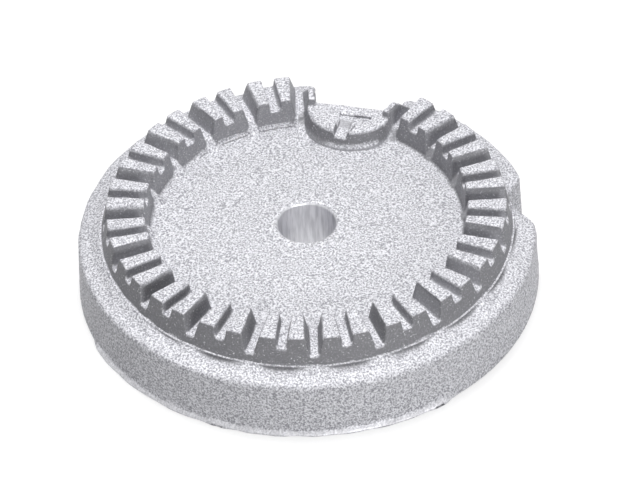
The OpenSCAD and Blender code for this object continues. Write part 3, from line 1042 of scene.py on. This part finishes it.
        ear_x = spread({side: ends[side].place(foot_at[side])[0] * 0.95 for side in ends})
        ear_y = (boss.slot_end + (ends[True].place(foot_at[True])[1] - 0.12 - boss.slot_end) * ramp(x, 1.6, right_x)
                 + (ends[False].place(foot_at[False])[1] - 0.12 - boss.slot_end) * ramp(-x, 1.6, -left_x))
        lines[Line.EAR_FOOT] = np.stack([ear_x, ear_y, slot_z, 0.0 * x])
        top_x = spread({side: ends[side].place(top_at[side])[0] for side in ends})
        relief_y = boss.step_line(x)
        top_y = (relief_y + (ends[True].place(top_at[True])[1] - relief_y) * ramp(x, 3.6, right_x)
                 + (ends[False].place(top_at[False])[1] - relief_y) * ramp(-x, 3.6, -left_x))
        lines[Line.TOP_INNER] = np.stack([top_x, top_y, notch.floor + 0.0 * x, 0.0 * x])
        back_x = spread({side: ends[side].place(back_at[side])[0] for side in ends})
        back_y = notch.back_line(back_x)
        heights = {
            Line.TOP_OUTER: notch.floor, Line.RING_FOOT: ring.bead_z, Line.BEAD: ring.bead_z - 0.1,
            Line.LEDGE_IN: plate.ledge_z, Line.LEDGE_OUT: plate.ledge_z - 0.7, Line.SKIRT_TOP: plate.shoulder_z,
            Line.LIP: plate.lip_h + 0.14, Line.SKIRT_FOOT: 0.0,
        }
        for line, z in heights.items():
            lines[line] = np.stack([back_x, back_y, 0.0 * x + z, 0.0 * x])
            lines[line, 3, 0] = back_at[True]
            lines[line, 3, -1] = back_at[False]
        lines[Line.TOP_INNER, 3, 0] = top_at[True]
        lines[Line.TOP_INNER, 3, -1] = top_at[False]
        hollow_x = x + (hollow.box_right - right_x) * x / right_x * (x > 0) + (hollow.box_left - left_x) * x / left_x * (x < 0)
        wall_y = notch.back - hollow.wall + 0.0 * x
        lines[Line.HOLLOW_FOOT] = np.stack([hollow_x, wall_y, 0.0 * x, 0.0 * x])
        lines[Line.CEILING_OUT] = np.stack([hollow_x, wall_y, hollow.ceiling(wall_y), 0.0 * x])
        lines[Line.CEILING_MIDDLE] = np.stack([0.96 * hollow_x, 0.0 * x + 22.3, hollow.ceiling(wall_y), 0.0 * x])
        return lines

    @staticmethod
    def divided(lines: Array) -> Array:
        """Divides the stretch after each feature line into rows, in the shares given for it.

        Args:
            lines: Array of lines by four rows by columns.

        Returns:
            Array of rows by four by columns, once round the section.
        """
        rows = []
        following = np.roll(lines, -1, axis=0)
        for line in Line:
            share = np.array(SHARES[line])[:, None, None]
            rows.append(lines[line] * (1.0 - share) + following[line] * share)
        return np.concatenate(rows)

    def wall_columns(self, corner: Array, edge: Array, right: bool) -> Array:
        """Rules the side wall of the opening between the column at its inner corner and the one on the ear's edge.

        From the top inner line to the skirt's foot both columns lie on the wall, so the new ones are set by their
        distance along the side path and their height. Elsewhere they share the straight line between the two.

        Args:
            corner: Rows of the column at the inner corner.
            edge: Rows of the column on the ear's edge.
            right: Whether the right side is meant.

        Returns:
            Rows of the columns between, from the corner to the edge.
        """
        share = np.array(self.wall_shares)
        made = corner[:, :, None] * (1.0 - share) + edge[:, :, None] * share
        start = sum(len(SHARES[line]) for line in Line if line < Line.TOP_INNER)
        stop = sum(len(SHARES[line]) for line in Line if line < Line.SKIRT_FOOT) + 1
        x, y = self.paths[right].place(made[start:stop, 3])
        made[start:stop, 0], made[start:stop, 1] = x, y
        return made

    def on_path(self, rows: Array, right: bool) -> Array:
        """Puts the wall rows of one column on its side path."""
        start = sum(len(SHARES[line]) for line in Line if line < Line.TOP_INNER)
        stop = sum(len(SHARES[line]) for line in Line if line < Line.SKIRT_FOOT) + 1
        x, y = self.paths[right].place(rows[start:stop, 3])
        rows[start:stop, 0], rows[start:stop, 1] = x, y
        return rows

    def grid(self) -> Array:
        """Joins all columns once round the crown: platform, left wall and ear, ring, right ear and wall.

        Returns:
            Array of rows by columns by three, in mm.
        """
        ring = self.divided(self.ring_lines())
        platform = self.divided(self.platform_lines())
        edges = {right: self.on_path(self.divided(self.edge_lines(right))[:, :, 0], right) for right in (True, False)}
        start = sum(len(SHARES[line]) for line in Line if line < Line.EAR_FOOT)
        stop = sum(len(SHARES[line]) for line in Line if line < Line.TOP_OUTER)
        across = slice(4, -4)
        top = platform[start:stop, :, across]
        boss = self.form.platform
        top[:, 2] = boss.height(top[:, 0], top[:, 1])
        foot = len(SHARES[Line.EAR_FOOT]) - 2
        for row, share_up in ((foot + 1, 0.25), (foot + 2, 0.75)):
            top[row, 2] = top[foot, 2] + share_up * (boss.top - top[foot, 2])
            top[row, 1] = np.where(boss.top - top[foot, 2] > 0.1, boss.step_line(top[row, 0]), top[row, 1])
        platform[:, :, 0] = self.on_path(platform[:, :, 0], True)
        platform[:, :, -1] = self.on_path(platform[:, :, -1], False)
        share = np.array(self.ear_shares)
        left_ear = edges[False][:, :, None] * share[::-1] + ring[:, :, :1] * (1.0 - share[::-1])
        right_ear = ring[:, :, -1:] * (1.0 - share) + edges[True][:, :, None] * share
        left_wall = self.wall_columns(platform[:, :, -1], edges[False], False)
        right_wall = self.wall_columns(platform[:, :, 0], edges[True], True)[:, :, ::-1]
        whole = np.concatenate([
            platform, left_wall, edges[False][:, :, None], left_ear, ring, right_ear, edges[True][:, :, None], right_wall,
        ], axis=2)
        return np.moveaxis(whole[:, :3], 1, 2)

    def machined(self, spots: Array) -> Array:
        """Tells where the casting was turned after blasting: the wall of the bore and the seating lip.

        Args:
            spots: Points of the mesh.

        Returns:
            0 on blasted metal to 1 on turned metal.
        """
        at = Spots(*spots.T)
        plate = self.form.plate
        bore = ramp(-at.r, -plate.bore_r - 0.35, -plate.bore_r - 0.1) * ramp(at.z, 0.2, 0.8)
        turn = np.mod(at.bearing, 360.0)
        ends = ramp(turn, plate.lip_from, plate.lip_from + 6.0) * ramp(-turn, -plate.lip_to, 6.0 - plate.lip_to)
        lip = ramp(at.r, plate.skirt_r - 0.02, plate.skirt_r + 0.08) * ends
        return np.maximum(bore, self.lip_shine * lip)

    def dullness_and_painted_shade(self, spots: Array, outward: Array) -> tuple[Array, Array]:
        """Tells where the blasting hardly reached, the steep walls, and where painted shade darkens the surface.
        The painted shade lies on the walls, in the ports and most on the front ones, on the gas slot's ramp, on the
        bead's riser between the deep ports, along the boss's left foot and on the chutes right of the notch; these
        patches get the dull finish too.

        Args:
            spots: Points of the mesh.
            outward: Outward directions there.

        Returns:
            0 on well blasted metal to 1 on dull walls, and 0 to 1 for the painted shade, most outside the ring.
        """
        at = Spots(*spots.T)
        level = np.abs(outward[:, 2])
        ring = self.form.ring
        belt = ramp(at.r, 18.0, 19.0) * ramp(-at.r, -34.7, -34.5) * ramp(at.z, 10.4, 10.7)
        walls = belt * ramp(-level, -0.62, -0.42)
        inside = ramp(at.r, ring.in_r + 0.3, ring.in_r + 0.8) * ramp(ring.outer(at.z) - at.r, 0.25, 0.45)
        inside = inside * ramp(-at.z, -15.5, -15.2)
        ports = inside * ramp(-level, -0.95, -0.86)
        boss = self.form.platform
        # Painted shade on the gas slot's ramp, which also gets the dull finish.
        slot = ramp(boss.slot_half - np.abs(at.x - boss.slot_x), 0.0, 0.1) * ramp(at.y, boss.slot_end - 0.1, boss.slot_end)
        slot = slot * ramp(boss.ramp_end - at.y, 0.0, 0.2) * ramp(at.z, 12.5, 12.8)
        # Painted shade on the walls: less on the ring's inner wall and less again at the boss's kerb.
        in_shade = 1.0 - self.inner_shade_cut * ramp(at.r, 25.3, 25.6) * ramp(-at.r, -29.0, -27.0)
        in_shade = in_shade * (1.0 - 0.6 * ramp(boss.kerb_z + 0.3 - at.z, 0.0, 0.15) * ramp(-at.r, -25.0, -24.5))
        # Painted shade along the left foot of the boss.
        foot = belt * ramp(-level, -0.93, -0.8) * ramp(-at.x, 0.5, 3.0) * ramp(at.z, boss.kerb_z, boss.kerb_z + 0.15)
        foot = foot * ramp(boss.top - at.z, 0.5, 0.8)
        foot = foot * ramp(boss.wall(at.z) + 1.2 - np.hypot(at.x - boss.middle[0], at.y - boss.middle[1]), 0.0, 0.2)
        lifted = self.form.lifted(at)
        under = ramp(at.r - ring.bead_r, -0.25, -0.1)
        turn = np.mod(at.bearing, 360.0)
        # Painted shade in the ports, full on the front ones.
        front = ramp(turn, 212.0, 235.0) * ramp(-turn, -330.0, -305.0)
        in_port = self.port_shade + (self.front_port_shade - self.port_shade) * front
        shade = walls * in_shade * (1.0 - inside) * (1.0 - under * lifted) + in_port * ports
        # Painted shade on the bead's riser between the deep ports.
        below = ramp(at.r - ring.bead_r, -0.05, 0.05) * ramp(ring.bead_r + 0.5 - at.r, 0.0, 0.2)
        below = below * ramp(-level, -0.97, -0.85) * (1.0 - lifted) ** 2
        # Painted shade on the chutes and inner walls right of the notch.
        corner = belt * ramp(-level, -0.985, -0.93) * ramp(-at.r, -27.6, -27.0) * ramp(at.z, 10.8, 11.1)
        corner = corner * ramp(-np.abs(at.bearing - 31.0), -46.0, -38.0) * ramp(-at.z, -15.2, -14.8)
        corner = corner * ramp(at.r, 25.0, 25.3)
        dull = np.maximum.reduce([walls, ports, slot, below, foot, corner])
        return dull, np.maximum.reduce([shade, 0.5 * slot, 0.8 * below, 0.9 * foot, 0.7 * corner])

    def build(self) -> bpy.types.Object:
        """Settles the grid on the surface and makes it a closed mesh in metres.

        Returns:
            The crown's object at the origin.
        """
        grid = self.grid()
        spots, outward = self.form.settled(grid.reshape(-1, 3))
        index = np.arange(len(spots)).reshape(grid.shape[:2])
        above = np.roll(index, -1, axis=0)
        faces = np.stack([index, above, np.roll(above, -1, axis=1), np.roll(index, -1, axis=1)], axis=-1).reshape(-1, 4)
        mesh = bpy.data.meshes.new("crown_casting")
        mesh.vertices.add(len(spots))
        mesh.vertices.foreach_set("co", (spots * MM).ravel())
        mesh.loops.add(faces.size)
        mesh.loops.foreach_set("vertex_index", faces.ravel())
        mesh.polygons.add(len(faces))
        mesh.polygons.foreach_set("loop_start", np.arange(0, faces.size, 4))
        mesh.polygons.foreach_set("use_smooth", np.ones(len(faces), dtype=bool))
        mesh.update(calc_edges=True)
        mesh.validate()
        mesh.normals_split_custom_set_from_vertices(outward)
        dull, shade = self.dullness_and_painted_shade(spots, outward)
        # The shade attribute holds the painted shade, which the material lays on the dull tone.
        for name, values in ((DULL, dull), (SHADE, shade), (MACHINED, self.machined(spots))):
            made = mesh.attributes.new(name, "FLOAT", "POINT")
            made.data.foreach_set("value", values)
        crown = bpy.data.objects.new("crown_casting", mesh)
        bpy.context.scene.collection.objects.link(crown)
        return crown


@dataclass(frozen=True)
class BlastedAluminium:
    """Bead-blasted die-cast aluminium: pale matt metal with a fine sparkling grain, and a smooth reamed bore."""

    pale: Colour = (0.80, 0.80, 0.84)
    dark: Colour = (0.27, 0.27, 0.30)
    dull_pale: Colour = (0.66, 0.66, 0.70)
    dull_dark: Colour = (0.45, 0.45, 0.48)
    dull_low: float = 0.46
    dull_high: float = 0.70
    # Share of the dull tone left under the full painted shade.
    shade_share: float = 0.48
    # Pale specks of the grain painted as glints, and the grain values over which they show.
    glint_speck: Colour = (0.80, 0.80, 0.84)
    glint_speck_low: float = 0.655
    glint_speck_high: float = 0.70
    dull_relief: float = 0.6
    bore_pale: Colour = (0.86, 0.86, 0.89)
    bore_dark: Colour = (0.64, 0.64, 0.67)
    roughness: float = 0.6
    bore_roughness: float = 0.42
    metallic: float = 0.15
    bore_metallic: float = 0.7
    grain_per_m: float = 3300.0
    grain_low: float = 0.38
    grain_high: float = 0.60
    streak_per_m: float = 1500.0
    streak_stretch: float = 0.12
    relief: float = 0.5
    relief_m: float = 0.0001

    def material(self) -> bpy.types.Material:
        """Builds the material on Object coordinates.

        A fine noise sets the tone and the relief of the grain. The dull attribute turns it into a low-contrast tone on
        darker metal, which the shade attribute darkens further as painted shade, with pale specks of the grain painted
        as glints that stay bright through it. The machined attribute turns it into soft streaks along the bore's axis,
        with no relief.

        Returns:
            The finished material.
        """
        made = bpy.data.materials.new("blasted_aluminium")
        made.use_nodes = True
        tree = made.node_tree
        link = tree.links.new
        shader = tree.nodes["Principled BSDF"]
        place = tree.nodes.new("ShaderNodeTexCoord")

        def noise(scale: float, detail: float) -> bpy.types.Node:
            """Adds a noise of this scale and detail.

            Args:
                scale: Cells in one metre.
                detail: Octaves.

            Returns:
                The noise node.
            """
            node = tree.nodes.new("ShaderNodeTexNoise")
            node.inputs["Scale"].default_value = scale
            node.inputs["Detail"].default_value = detail
            node.inputs["Roughness"].default_value = 0.6
            return node

        def tones(source: bpy.types.Node, low: float, high: float, dark: Colour, pale: Colour) -> bpy.types.Node:
            """Turns a noise into a colour between dark and pale.

            Args:
                source: The noise node.
                low: Value that gives the dark colour.
                high: Value that gives the pale colour.
                dark: The dark colour.
                pale: The pale colour.

            Returns:
                The colour ramp node.
            """
            node = tree.nodes.new("ShaderNodeValToRGB")
            first, last = node.color_ramp.elements
            first.position, first.color = low, (*dark, 1.0)
            last.position, last.color = high, (*pale, 1.0)
            link(source.outputs["Fac"], node.inputs["Fac"])
            return node

        def share(name: str) -> bpy.types.NodeSocket:
            """Reads one of the mesh's own attributes."""
            node = tree.nodes.new("ShaderNodeAttribute")
            node.attribute_name = name
            return node.outputs["Fac"]

        def between(factor: bpy.types.NodeSocket, first: bpy.types.NodeSocket,
                    second: bpy.types.NodeSocket) -> bpy.types.NodeSocket:
            """Mixes two colours by a factor."""
            node = tree.nodes.new("ShaderNodeMix")
            node.data_type = "RGBA"
            link(factor, node.inputs["Factor"])
            link(first, node.inputs["A"])
            link(second, node.inputs["B"])
            return node.outputs["Result"]

        def level(factor: bpy.types.NodeSocket, first: float, second: float) -> bpy.types.NodeSocket:
            """Runs from a first number to a second by a factor."""
            node = tree.nodes.new("ShaderNodeMapRange")
            node.inputs["To Min"].default_value = first
            node.inputs["To Max"].default_value = second
            link(factor, node.inputs["Value"])
            return node.outputs["Result"]

        grain = noise(self.grain_per_m, 2.0)
        link(place.outputs["Object"], grain.inputs["Vector"])
        stretched = tree.nodes.new("ShaderNodeVectorMath")
        stretched.operation = "MULTIPLY"
        stretched.inputs[1].default_value = (1.0, 1.0, self.streak_stretch)
        link(place.outputs["Object"], stretched.inputs[0])
        streaks = noise(self.streak_per_m, 2.0)
        link(stretched.outputs["Vector"], streaks.inputs["Vector"])
        blasted = tones(grain, self.grain_low, self.grain_high, self.dark, self.pale)
        dulled = tones(grain, self.dull_low, self.dull_high, self.dull_dark, self.dull_pale)
        turned = tones(streaks, self.grain_low, self.grain_high, self.bore_dark, self.bore_pale)
        machined, dull = share(MACHINED), share(DULL)
        # Painted shade: the shade attribute scales the dull tone down, as far as shade_share.
        shaded = tree.nodes.new("ShaderNodeVectorMath")
        shaded.operation = "SCALE"
        link(dulled.outputs["Color"], shaded.inputs["Vector"])
        link(level(share(SHADE), 1.0, self.shade_share), shaded.inputs["Scale"])
        # Painted glints: pale specks of the grain that stay bright over the painted shade.
        specks = tones(grain, self.glint_speck_low, self.glint_speck_high, (0.0, 0.0, 0.0), self.glint_speck)
        specked = tree.nodes.new("ShaderNodeVectorMath")
        specked.operation = "MAXIMUM"
        link(shaded.outputs["Vector"], specked.inputs[0])
        link(specks.outputs["Color"], specked.inputs[1])
        cast = between(dull, blasted.outputs["Color"], specked.outputs["Vector"])
        smooth = tree.nodes.new("ShaderNodeMath")
        smooth.operation = "MAXIMUM"
        link(machined, smooth.inputs[0])
        link(level(dull, 0.0, self.dull_relief), smooth.inputs[1])
        bump = tree.nodes.new("ShaderNodeBump")
        bump.inputs["Distance"].default_value = self.relief_m
        link(between(machined, cast, turned.outputs["Color"]), shader.inputs["Base Color"])
        link(level(machined, self.roughness, self.bore_roughness), shader.inputs["Roughness"])
        link(level(machined, self.metallic, self.bore_metallic), shader.inputs["Metallic"])
        link(level(smooth.outputs["Value"], self.relief, 0.0), bump.inputs["Strength"])
        link(grain.outputs["Fac"], bump.inputs["Height"])
        link(bump.outputs["Normal"], shader.inputs["Normal"])
        return made


@dataclass(frozen=True)
class Lamp:
    """A square soft lamp. Lean is from upright, away from the camera or, below zero, towards it."""

    name: str
    lean: float
    side: float
    size: float
    watts: float


@dataclass
class Studio:
    """White sweep, soft lamps and the camera at the photograph's angle."""

    azimuth: float = 17.243
    elevation: float = 41.619
    roll: float = -2.435
    camera_place: tuple[float, float, float] = (155.24, -497.60, 468.59)
    focal_px: float = 4218.588
    image_px: tuple[int, int] = (625, 500)
    sensor_mm: float = 36.0
    lamps: tuple[Lamp, ...] = (
        Lamp("overhead", 12.0, 10.0, 0.6, 15.3),
        Lamp("right", -74.0, 25.0, 0.5, 7.5),
    )
    lamp_reach: float = 1.3
    ambient: float = 0.15
    paper: float = 0.45
    paper_glow: float = 0.6

    def camera(self) -> bpy.types.Object:
        """Places the camera by azimuth, elevation and roll.

        Returns:
            The camera object, also set as the scene's camera.
        """
        data = bpy.data.cameras.new("camera")
        data.sensor_width = self.sensor_mm
        data.lens = self.sensor_mm * self.focal_px / self.image_px[0]
        data.clip_start = 0.01
        data.clip_end = 20.0
        az, el, roll = np.radians([self.azimuth, self.elevation, self.roll])
        forward = np.array([-np.sin(az) * np.cos(el), np.cos(az) * np.cos(el), -np.sin(el)])
        right = np.array([np.cos(az), np.sin(az), 0.0])
        up = np.cross(right, forward)
        right_rolled = right * np.cos(roll) + up * np.sin(roll)
        up_rolled = up * np.cos(roll) - right * np.sin(roll)
        turn = Matrix(np.column_stack([right_rolled, up_rolled, -forward]).tolist()).to_4x4()
        camera = bpy.data.objects.new("camera", data)
        camera.matrix_world = Matrix.Translation(Vector(self.camera_place) * MM) @ turn
        bpy.context.scene.collection.objects.link(camera)
        bpy.context.scene.camera = camera
        return camera

    def floor(self) -> bpy.types.Object:
        """Lays a pale floor that a camera sees as plain white but that keeps the shadow.

        Returns:
            The floor object.
        """
        half = 3.0
        corners = [(-half, -half, 0), (half, -half, 0), (half, half, 0), (-half, half, 0)]
        mesh = bpy.data.meshes.new("floor")
        mesh.from_pydata(corners, [], [(0, 1, 2, 3)])
        floor = bpy.data.objects.new("floor", mesh)
        bpy.context.scene.collection.objects.link(floor)
        made = bpy.data.materials.new("paper")
        made.use_nodes = True
        shader = made.node_tree.nodes["Principled BSDF"]
        shader.inputs["Base Color"].default_value = (self.paper, self.paper, self.paper, 1.0)
        shader.inputs["Roughness"].default_value = 1.0
        shader.inputs["Emission Color"].default_value = (1.0, 1.0, 1.0, 1.0)
        made.node_tree.links.new(self.seen(made.node_tree, 0.0, self.paper_glow), shader.inputs["Emission Strength"])
        floor.data.materials.append(made)
        return floor

    def hang(self, lamp: Lamp) -> bpy.types.Object:
        """Hangs a lamp so that it faces the crown.

        Args:
            lamp: The lamp. Its side is a turn about the vertical from the camera's line, in degrees.

        Returns:
            The lamp's object.
        """
        data = bpy.data.lights.new(lamp.name, "AREA")
        data.shape = "RECTANGLE"
        data.size, data.size_y = lamp.size, lamp.size
        data.energy = lamp.watts
        made = bpy.data.objects.new(lamp.name, data)
        turn, tilt = np.radians(self.azimuth + lamp.side), np.radians(lamp.lean)
        way = Vector((-np.sin(turn) * np.sin(tilt), np.cos(turn) * np.sin(tilt), np.cos(tilt)))
        made.location = way * self.lamp_reach
        made.rotation_euler = way.to_track_quat("Z", "Y").to_euler()
        bpy.context.scene.collection.objects.link(made)
        return made

    def light(self) -> None:
        """Hangs the lamps and lifts the shadows a little with the world."""
        for lamp in self.lamps:
            self.hang(lamp)
        world = bpy.data.worlds.new("studio")
        bpy.context.scene.world = world
        world.use_nodes = True
        tree = world.node_tree
        tree.nodes["Background"].inputs["Color"].default_value = (1, 1, 1, 1)
        tree.links.new(self.seen(tree, self.ambient, 1.0), tree.nodes["Background"].inputs["Strength"])

    @staticmethod
    def seen(tree: bpy.types.NodeTree, unseen: float, shown: float) -> bpy.types.NodeSocket:
        """Gives one number to rays from the camera, from gloss and through glass, and another to all others.

        Args:
            tree: Node tree to build in.
            unseen: Number for the other rays.
            shown: Number for camera, glossy and transmission rays.

        Returns:
            The socket with the number.
        """
        rays = tree.nodes.new("ShaderNodeLightPath")
        total = rays.outputs["Is Camera Ray"]
        for name in ("Is Glossy Ray", "Is Transmission Ray"):
            larger = tree.nodes.new("ShaderNodeMath")
            larger.operation = "MAXIMUM"
            tree.links.new(total, larger.inputs[0])
            tree.links.new(rays.outputs[name], larger.inputs[1])
            total = larger.outputs["Value"]
        picked = tree.nodes.new("ShaderNodeMapRange")
        picked.inputs["To Min"].default_value = unseen
        picked.inputs["To Max"].default_value = shown
        tree.links.new(total, picked.inputs["Value"])
        return picked.outputs["Result"]


def main() -> None:
    """Builds the pieces in order and reports each one."""
    logging.basicConfig(level=logging.INFO, format="%(name)s: %(message)s")
    bpy.context.scene.view_settings.view_transform = "Standard"
    crown = Crown().build()
    crown.data.materials.append(BlastedAluminium().material())
    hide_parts("burner_crown")
    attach(crown, "root")
    LOG.info("crown built: %d faces", len(crown.data.polygons))
    studio = Studio()
    studio.floor()
    studio.light()
    studio.camera()
    LOG.info("studio set")


if __name__ == "__main__":
    main()
